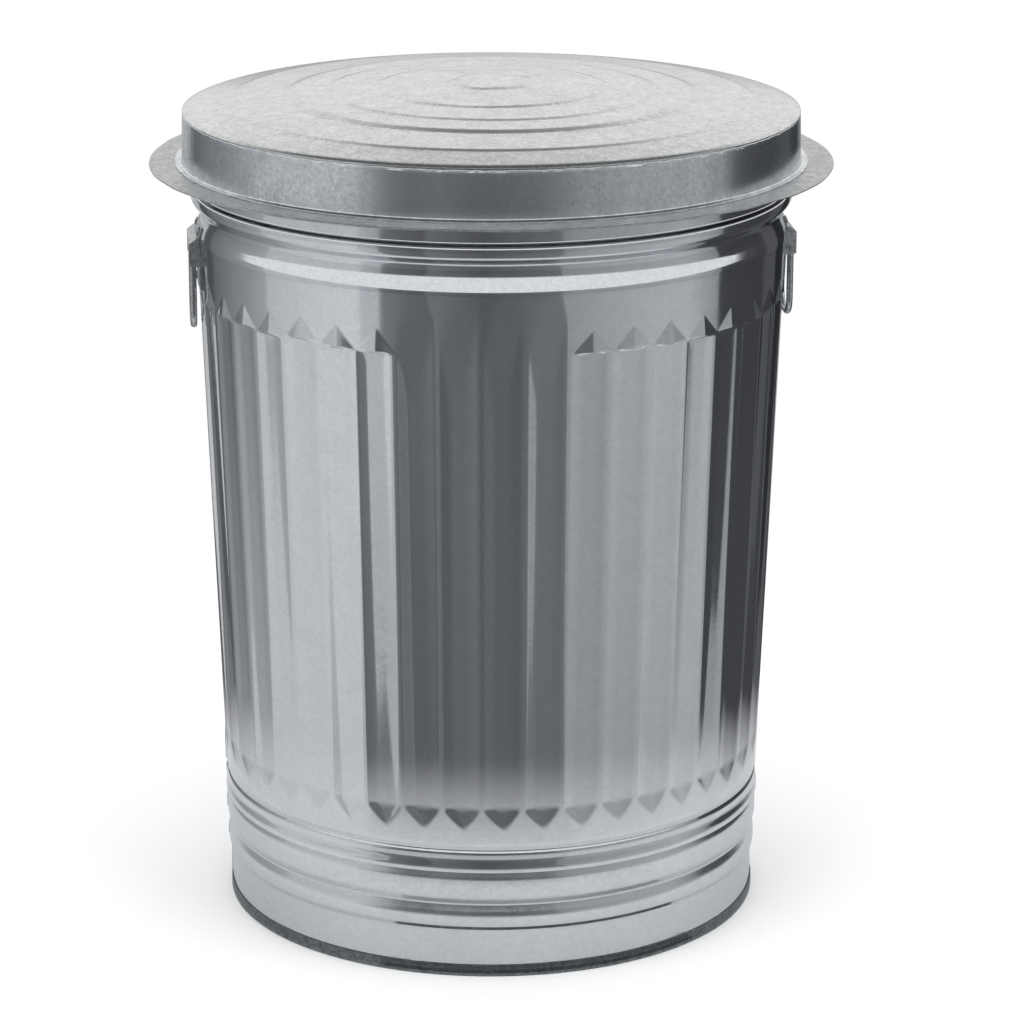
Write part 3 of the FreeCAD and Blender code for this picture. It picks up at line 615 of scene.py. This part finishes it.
def make_lid_side(sheets):
    """Upright side with a rolled top edge, flaring to a flange that lies on the brim."""
    foot = LID_RADIUS + 0.9
    line = spaced(soft_line([
        (foot + 5.2, SIDE_FOOT + LID_SHEET, 0),
        (foot, SIDE_FOOT + LID_SHEET, 1.6),
        (foot - 0.35, SIDE_FOOT + 10, 4.0),
        (LID_RADIUS, SIDE_TOP - 3, 1.5),
        (LID_RADIUS - 0.25, SIDE_TOP - 0.5, 0.4),
        (LID_RADIUS - 0.6, SIDE_TOP - 0.1, 0),
    ], steps=8), 4.0)
    loop, _ = sheet_loop(line, LID_SHEET)
    uneven = waves(51, 8, 3, 21, 0.03)
    ragged = waves(53, 12, 20, 160, 0.0)

    def warp(angle, radius, height):
        upright = np.clip((height - SIDE_FOOT - 3) / 10, 0, 1) * np.clip((SIDE_TOP - height) / 8, 0, 1)
        radius = radius + sheets.ripple / MM * 1.3 * ripple(angle, height, uneven) * upright
        cut_edge = height > SIDE_TOP - 2
        gap = np.clip(ripple(angle, 0 * height, ragged), -0.2, 1.2) + 0.2
        outer_edge = np.clip((radius - foot - 3.5) / 1.5, 0, 1)
        return radius - 0.5 * gap * outer_edge, height - np.where(cut_edge, 0.4 * gap, 0)

    return turned("lid_side", loop, 2 * sheets.turns, warp)


def make_lid_brim(sheets):
    """Flat ring with its outer edge folded under, cut a little ragged underneath."""
    inside = LID_RADIUS + 0.2
    middle = BRIM_TOP - LID_SHEET
    face = spaced([Vector((inside, BRIM_TOP)), Vector((BRIM_RADIUS - 1.5, BRIM_TOP))], 4.0)
    fold = arc((BRIM_RADIUS - 0.1 - LID_SHEET, middle), LID_SHEET, 90, -90, 8)
    under = [
        Vector((BRIM_RADIUS - 3.0, BRIM_FOOT)),
        Vector((BRIM_RADIUS - 3.4, BRIM_FOOT + 0.1)),
        Vector((BRIM_RADIUS - 3.4, middle)),
        Vector((inside, middle)),
    ]
    loop = (face + fold + under)[::-1]
    uneven = waves(61, 8, 3, 31, 0.0)
    ragged = waves(67, 14, 50, 260, 0.0)

    def warp(angle, radius, height):
        free = np.clip((radius - inside - 6) / 18, 0, 1)
        height = height + 0.30 * ripple(angle, 0 * height, uneven) * free - 0.30 * free
        cut_edge = (height < middle - 0.2) & (radius > BRIM_RADIUS - 4) & (radius < BRIM_RADIUS - 2)
        bite = 0.5 * ripple(angle, 0 * height, ragged)
        return radius + np.where(cut_edge, bite, 0), height

    return turned("lid_brim_ring", loop, 3 * sheets.turns, warp)


class BIN_OT_lid(bpy.types.Operator):
    """Make the lid's crown, side and brim"""

    bl_idname = "bin.lid"
    bl_label = "Lid"

    def execute(self, context):
        sheets, colours = context.scene.bin_sheets, context.scene.bin_colours
        dress(make_lid_top(sheets), mottled_zinc_crown(colours), "lid_zinc", "lid", "lid_top")
        dress(make_lid_side(sheets), drawn_zinc_side(colours), "lid_zinc", "lid", "lid_band")
        dress(make_lid_brim(sheets), dull_zinc_brim(colours), "lid_zinc", "lid", "lid_brim")
        return {"FINISHED"}


# ---- handles ----


def soften(node, bend):
    """Round a CAD node's folded edges without changing its mesh."""
    weld = node.modifiers.new("weld", "WELD")
    weld.merge_threshold = 1e-5
    flat = node.modifiers.new("flat", "DECIMATE")
    flat.decimate_type = "DISSOLVE"
    flat.angle_limit = math.radians(3)
    bevel = node.modifiers.new("bevel", "BEVEL")
    bevel.width = bend * MM
    bevel.segments = 3
    bevel.limit_method = "ANGLE"
    bevel.angle_limit = math.radians(25)
    bevel.harden_normals = True


class BIN_OT_handles(bpy.types.Operator):
    """Finish the ears, the rivets and the wire bails"""

    bl_idname = "bin.handles"
    bl_label = "Handles"

    def execute(self, context):
        colours = context.scene.bin_colours
        for side in ("left", "right"):
            soften(finish_node(side + "_ear", pressed_zinc_ear(colours)), 0.35)
            finish_node(side + "_bail", zinc_wire(colours))
            soften(finish_node(side + "_rivets", plated_rivet(colours)), 0.5)
        finish_node("rim_wire", zinc_wire(colours))
        return {"FINISHED"}


# ---- finishes ----


def add_node(tree, kind, settings=None, **inputs):
    """Add a node, set its properties, and set or link its inputs by name."""
    node = tree.nodes.new(kind)
    for name, value in (settings or {}).items():
        setattr(node, name, value)
    for name, value in inputs.items():
        socket = node.inputs[int(name[2:])] if name.startswith("at") else node.inputs[name.replace("_", " ")]
        if isinstance(value, bpy.types.NodeSocket):
            tree.links.new(value, socket)
        else:
            socket.default_value = value
    return node


def zinc(name, colour, roughness, mottle_mm, spangle_mm, grain_mm, spread, streak=1.0, relief=0.02,
         contrast=0.5):
    """Galvanised steel: clouded tones, crystal spangle, fine grain and faint drawn streaks."""
    # Spangle and grain are drawn coarser than the real ones, which are too fine to show.
    made = bpy.data.materials.get(name)
    if made:
        return made
    made = bpy.data.materials.new(name)
    made.use_nodes = True
    tree = made.node_tree
    tree.nodes.clear()
    place = add_node(tree, "ShaderNodeTexCoord").outputs["Object"]
    drawn = add_node(tree, "ShaderNodeMapping", at0=place, Scale=(1.0, 1.0, streak)).outputs[0]
    clouds = add_node(tree, "ShaderNodeTexNoise", Vector=drawn, Scale=1 / (mottle_mm * MM),
                      Detail=4.0, Roughness=0.6)
    crystals = add_node(tree, "ShaderNodeTexVoronoi", Vector=place, Scale=1 / (spangle_mm * MM))
    grain = add_node(tree, "ShaderNodeTexNoise", Vector=drawn, Scale=1 / (grain_mm * MM),
                     Detail=2.0, Roughness=0.7)
    crystal_tone = add_node(tree, "ShaderNodeSeparateColor", Color=crystals.outputs["Color"]).outputs[0]
    half = add_node(tree, "ShaderNodeMix", {"data_type": "FLOAT"}, Factor=0.35,
                    at2=clouds.outputs["Fac"], at3=crystal_tone)
    tone = add_node(tree, "ShaderNodeMix", {"data_type": "FLOAT"}, Factor=contrast * 0.6,
                    at2=half.outputs[0], at3=grain.outputs["Fac"])
    tones = add_node(tree, "ShaderNodeValToRGB", at0=tone.outputs[0])
    stops = tones.color_ramp.elements
    stops[0].position, stops[1].position = 0.32, 0.68
    for stop, share in zip(stops, (1 - spread, 1 + spread)):
        stop.color = (*[min(part * share, 1.0) for part in colour], 1.0)
    rough = add_node(tree, "ShaderNodeMapRange", Value=tone.outputs[0], From_Min=0.3, From_Max=0.7,
                     To_Min=roughness + 0.06, To_Max=roughness - 0.04)
    height = add_node(tree, "ShaderNodeMix", {"data_type": "FLOAT"}, Factor=0.4,
                      at2=grain.outputs["Fac"], at3=crystals.outputs["Distance"])
    bump = add_node(tree, "ShaderNodeBump", Strength=0.35, Distance=relief * MM, Height=height.outputs[0])
    shader = add_node(tree, "ShaderNodeBsdfPrincipled", Base_Color=tones.outputs["Color"], Metallic=1.0,
                      Roughness=rough.outputs[0], Normal=bump.outputs[0])
    add_node(tree, "ShaderNodeOutputMaterial", Surface=shader.outputs[0])
    return made


def bright_zinc_sheet(colours):
    """Continuously galvanised cold-rolled sheet: satin, nearly mirror-like along the flutes."""
    return zinc("galvanised_sheet_satin", colours.wall, roughness=0.085, mottle_mm=22.0,
                spangle_mm=2.6, grain_mm=1.3, spread=0.07, relief=0.006, contrast=0.9)


def smooth_zinc_sheet(colours):
    """The same sheet, rolled smooth for the base band, a little cooler."""
    return zinc("galvanised_sheet_smooth", colours.band, roughness=0.17, mottle_mm=60.0,
                spangle_mm=3.0, grain_mm=1.2, spread=0.05, relief=0.004, contrast=0.5)


def mottled_zinc_crown(colours):
    """Hot-dip zinc with fine spangle: matte, light and mottled."""
    return zinc("galvanised_matte_spangle", colours.crown, roughness=0.24, mottle_mm=16.0,
                spangle_mm=2.4, grain_mm=1.2, spread=0.2, relief=0.014, contrast=0.8)


def dull_zinc_brim(colours):
    """The same hot-dip zinc on the brim, handled more: greyer and more clouded."""
    return zinc("galvanised_dull_spangle", colours.brim, roughness=0.3, mottle_mm=9.0,
                spangle_mm=2.4, grain_mm=1.2, spread=0.28, relief=0.02, contrast=0.8)


def drawn_zinc_side(colours):
    """Zinc drawn upright over the lid's side, which leaves fine upright streaks."""
    return zinc("galvanised_drawn", colours.lid_side, roughness=0.22, mottle_mm=14.0, spangle_mm=2.4,
                grain_mm=1.0, spread=0.2, streak=0.22, relief=0.014, contrast=0.7)


def dull_zinc_hoop_painted_shade(colours):
    """Unbrightened zinc on the rolled foot: dull, and dark with painted shade of the floor round the foot."""
    return zinc("galvanised_dull_painted_shade", colours.hoop, roughness=0.42, mottle_mm=7.0, spangle_mm=1.8,
                grain_mm=0.8, spread=0.5, relief=0.05, contrast=0.9)


def pressed_zinc_ear(colours):
    """Pressed zinc-coated plate of the ears, dulled by handling."""
    return zinc("galvanised_pressed_plate", colours.ear, roughness=0.34, mottle_mm=8.0, spangle_mm=2.0,
                grain_mm=0.7, spread=0.35, relief=0.03)


def zinc_wire(colours):
    """Galvanised wire: bright along its length with a darker drawn skin."""
    return zinc("galvanised_wire", colours.wire, roughness=0.28, mottle_mm=6.0, spangle_mm=1.6,
                grain_mm=0.6, spread=0.35, streak=0.4)


def plated_rivet(colours):
    """Zinc-plated steel rivets, duller than the sheet they hold."""
    return zinc("zinc_plated_rivet", colours.rivet, roughness=0.38, mottle_mm=3.0, spangle_mm=1.2,
                grain_mm=0.5, spread=0.4)


# ---- studio ----


def paper(name, hex_colour, fade_to=None, near=None, lit_from=None):
    """Matt paper, plain or shading from side to side to another tone.

    near and lit_from are distances from the bin's axis in metres: near is where the paper goes from
    pale to its own tone, and lit_from is where it goes to white before the camera.
    """
    made = bpy.data.materials.new(name)
    made.use_nodes = True
    tree = made.node_tree
    tree.nodes.clear()
    place = add_node(tree, "ShaderNodeTexCoord").outputs["Object"]
    away = add_node(tree, "ShaderNodeVectorMath", {"operation": "LENGTH"}, at0=place).outputs["Value"]
    colour = (*linear(hex_colour), 1.0)
    if fade_to:
        across = add_node(tree, "ShaderNodeAttribute", {"attribute_name": "across"}).outputs["Fac"]
        colour = add_node(tree, "ShaderNodeMix", {"data_type": "RGBA"}, at0=across, at6=colour,
                          at7=(*linear(fade_to), 1.0)).outputs[2]
    if near:
        fade = add_node(tree, "ShaderNodeMapRange", Value=away, From_Min=near[0], From_Max=near[1])
        colour = add_node(tree, "ShaderNodeMix", {"data_type": "RGBA"}, at0=fade.outputs[0],
                          at6=(*linear(CARD_WHITE), 1.0), at7=colour).outputs[2]
    surface = add_node(tree, "ShaderNodeBsdfDiffuse", Color=colour).outputs[0]
    if lit_from:
        camera = add_node(tree, "ShaderNodeLightPath").outputs["Is Camera Ray"]
        far = add_node(tree, "ShaderNodeMapRange", Value=away, From_Min=lit_from[0], From_Max=lit_from[1])
        share = add_node(tree, "ShaderNodeMath", {"operation": "MULTIPLY"}, at0=far.outputs[0], at1=camera)
        white = add_node(tree, "ShaderNodeEmission", Color=(1.0, 1.0, 1.0, 1.0), Strength=1.0)
        surface = add_node(tree, "ShaderNodeMixShader", at0=share.outputs[0], at1=surface,
                           at2=white.outputs[0]).outputs[0]
    add_node(tree, "ShaderNodeOutputMaterial", Surface=surface)
    return made


def stage_sheet(name, rows, material):
    """A stage piece through rows of corners, which knows how far across it each corner is."""
    across = len(rows[0])
    corners = [corner for row in rows for corner in row]
    faces = [(row * across + at, row * across + at + 1, (row + 1) * across + at + 1, (row + 1) * across + at)
             for row in range(len(rows) - 1) for at in range(across - 1)]
    mesh = bpy.data.meshes.new(name)
    mesh.from_pydata(corners, [], faces)
    mesh.materials.append(material)
    shares = mesh.attributes.new("across", "FLOAT", "POINT")
    shares.data.foreach_set("value", [at / (across - 1) for _ in rows for at in range(across)])
    piece = bpy.data.objects.new(name, mesh)
    bpy.context.scene.collection.objects.link(piece)
    return piece


def only_in_reflections(piece):
    """Hide a studio card from everything but reflections in gloss and metal."""
    piece.visible_camera = False
    piece.visible_diffuse = False
    piece.visible_transmission = False
    piece.visible_volume_scatter = False
    piece.visible_shadow = False


def studio_world():
    """White surround to the camera and in reflections; a milder grey lights the rest."""
    world = bpy.data.worlds.new("studio")
    bpy.context.scene.world = world
    world.use_nodes = True
    tree = world.node_tree
    tree.nodes.clear()
    path = add_node(tree, "ShaderNodeLightPath")
    seen = add_node(tree, "ShaderNodeMath", {"operation": "MAXIMUM"},
                    at0=path.outputs["Is Camera Ray"], at1=path.outputs["Is Glossy Ray"])
    seen = add_node(tree, "ShaderNodeMath", {"operation": "MAXIMUM"},
                    at0=seen.outputs[0], at1=path.outputs["Is Transmission Ray"])
    ambient = add_node(tree, "ShaderNodeBackground", Color=(*linear("#F4F6F8"), 1.0), Strength=0.75)
    white = add_node(tree, "ShaderNodeBackground", Color=(1.0, 1.0, 1.0, 1.0), Strength=1.0)
    mixed = add_node(tree, "ShaderNodeMixShader", at0=seen.outputs[0], at1=ambient.outputs[0],
                     at2=white.outputs[0])
    add_node(tree, "ShaderNodeOutputWorld", Surface=mixed.outputs[0])


def lamp(name, place, aim, across, up, power):
    """Hang a rectangular softbox at a place, pointed at another and unseen in reflections."""
    light = bpy.data.lights.new(name, "AREA")
    light.shape = "RECTANGLE"
    light.size, light.size_y = across, up
    light.energy = power
    piece = bpy.data.objects.new(name, light)
    piece.location = place
    piece.rotation_euler = (Vector(aim) - Vector(place)).to_track_quat("-Z", "Y").to_euler()
    piece.visible_glossy = False
    bpy.context.scene.collection.objects.link(piece)


WHITE_PAPER = "#F4F4F4"
CARD_WHITE = "#CFCFD0"

# Seven greys of card stock.
DEEP = "#2A2B2D"
DARK = "#404143"
SHADE = "#535457"
DUSK = "#6A6B6E"
GREY = "#888A8C"
PALE = "#A4A5A7"
LIGHT = "#BBBCBD"

# Matt cards that lie round the bin, stand up at their far end and show only in the metal. The dark
# ones are the gaps between the soft lights. Degrees run from the front to the right, as the camera
# sees it, and the two tones are those of a card's first and last edge.
CARDS = (
    ("front_left_flag", -41, -24, DUSK, SHADE),
    ("front_flag", -24, -3, DUSK, SHADE),
    ("front_right_flag", -3, 26, SHADE, DUSK),
    ("right_card", 26, 77, GREY, PALE),
    ("right_side_card", 77, 94, PALE, GREY),
    ("right_flag", 94, 127, DARK, DARK),
    ("right_back_card", 127, 141, SHADE, SHADE),
    ("right_back_flag", 141, 156, DEEP, DEEP),
    ("back_card", 156, 190, PALE, DUSK),
    ("left_back_card", 190, 217, LIGHT, LIGHT),
    ("left_flag", 217, 226, SHADE, SHADE),
    ("left_side_card", 226, 267, DUSK, PALE),
    ("left_card", 267, 311, LIGHT, LIGHT),
    ("left_edge_card", 311, 319, PALE, PALE),
)
FADE = (0.40, 0.58)  # metres from the axis between which a card goes from pale to its own tone
CARD_PROFILE = ((0.40, 0.002), (0.58, 0.002), (1.0, 0.002), (2.6, 0.002), (2.7, 0.75))

# Cards that touch the bin's foot, one of them a painted shadow: degrees as above, inner and outer radius in
# metres, tone.
FOOT_CARDS = (
    ("foot_card", -180, 180, 0.220, 0.400, CARD_WHITE),
    ("foot_card_round", 50, 336, 0.208, 0.220, CARD_WHITE),
    # A dark ring painted as the bin's contact shadow on the floor, seen only in the metal.
    ("foot_painted_shadow", -24, 50, 0.208, 0.220, "#48494B"),
)
FOOT_CARD_HEIGHT = 0.0015
TOP_FLAG = "#5E5F61"
TOP_FLAG_HEIGHT = 2.4


def make_cards(turn):
    """Lay the cards round the bin and at its foot, and hang a grey one over it."""
    for name, first, last, first_tone, last_tone in CARDS:
        rows = bent_rows(first, last, turn, CARD_PROFILE)
        card = stage_sheet(name, rows, paper(name + "_paper", first_tone, fade_to=last_tone, near=FADE))
        only_in_reflections(card)
    for name, first, last, inside, outside, tone in FOOT_CARDS:
        rows = bent_rows(first, last, turn, ((inside, FOOT_CARD_HEIGHT), (outside, FOOT_CARD_HEIGHT)))
        only_in_reflections(stage_sheet(name, rows, paper(name + "_paper", tone)))
    rows = bent_rows(-180, 180, turn, ((0.02, TOP_FLAG_HEIGHT), (2.4, TOP_FLAG_HEIGHT)))
    only_in_reflections(stage_sheet("top_flag", rows, paper("top_flag_paper", TOP_FLAG)))


def bent_rows(first, last, turn, profile):
    """Rows of corners round the bin between two angles, one row for each radius and height."""
    angles = np.radians(np.linspace(first, last, max(3, (last - first) // 5))) - turn
    return [[(radius * math.sin(angle), -radius * math.cos(angle), height) for angle in angles]
            for radius, height in profile]


class BIN_OT_stage(bpy.types.Operator):
    """Make the floor, the lamps, the cards, the surround and the camera"""

    bl_idname = "bin.stage"
    bl_label = "Studio"

    def execute(self, context):
        studio = context.scene.bin_studio
        reach = 12.0
        rows = [[(-reach, -reach, 0), (reach, -reach, 0)], [(-reach, reach, 0), (reach, reach, 0)]]
        stage_sheet("floor", rows, paper("floor_paper", WHITE_PAPER, lit_from=(0.26, 0.80)))
        studio_world()
        for name, side in (("left_softbox", -1), ("right_softbox", 1)):
            lamp(name, (side * 1.9, -1.5, 1.55), aim=(0, 0, 0.4), across=2.4, up=1.5,
                 power=studio.side_light)
        lamp("top_softbox", (0, 0.3, 3.0), aim=(0, 0, 0.3), across=2.4, up=2.4, power=studio.top_light)
        make_cards(studio.turn)
        camera = bpy.data.cameras.new("camera")
        camera.lens = studio.lens
        camera.sensor_width = 36.0
        camera.shift_x = 0.0202  # the bin stands a little left of the frame's middle
        piece = bpy.data.objects.new("camera", camera)
        piece.location = (-studio.distance * math.sin(studio.turn), -studio.distance * math.cos(studio.turn),
                          studio.height)
        piece.rotation_euler = (math.pi / 2 - studio.tilt, 0, -studio.turn)
        context.scene.collection.objects.link(piece)
        context.scene.camera = piece
        context.scene.view_settings.view_transform = "Standard"
        return {"FINISHED"}


# ---- panel and start ----

STEPS = ("wall", "base", "lid", "handles", "stage")


class BIN_PT_panel(bpy.types.Panel):
    """Lists the dustbin's sizes and its building steps"""

    bl_label = "Dustbin"
    bl_idname = "BIN_PT_panel"
    bl_space_type = "VIEW_3D"
    bl_region_type = "UI"
    bl_category = "Dustbin"

    def draw(self, context):
        for group in (context.scene.bin_colours, context.scene.bin_sheets, context.scene.bin_studio):
            for name in group.__annotations__:
                self.layout.prop(group, name)
        for step in STEPS:
            self.layout.operator("bin." + step)


CLASSES = (BinColourSettings, BinSheetSettings, BinStudioSettings, BIN_OT_wall, BIN_OT_base, BIN_OT_lid,
           BIN_OT_handles, BIN_OT_stage, BIN_PT_panel)


def register():
    for item in CLASSES:
        bpy.utils.register_class(item)
    bpy.types.Scene.bin_colours = bpy.props.PointerProperty(type=BinColourSettings)
    bpy.types.Scene.bin_sheets = bpy.props.PointerProperty(type=BinSheetSettings)
    bpy.types.Scene.bin_studio = bpy.props.PointerProperty(type=BinStudioSettings)


def unregister():
    del bpy.types.Scene.bin_studio
    del bpy.types.Scene.bin_sheets
    del bpy.types.Scene.bin_colours
    for item in reversed(CLASSES):
        bpy.utils.unregister_class(item)


def main():
    register()
    for step in STEPS:
        getattr(bpy.ops.bin, step)()


if __name__ == "__main__":
    main()
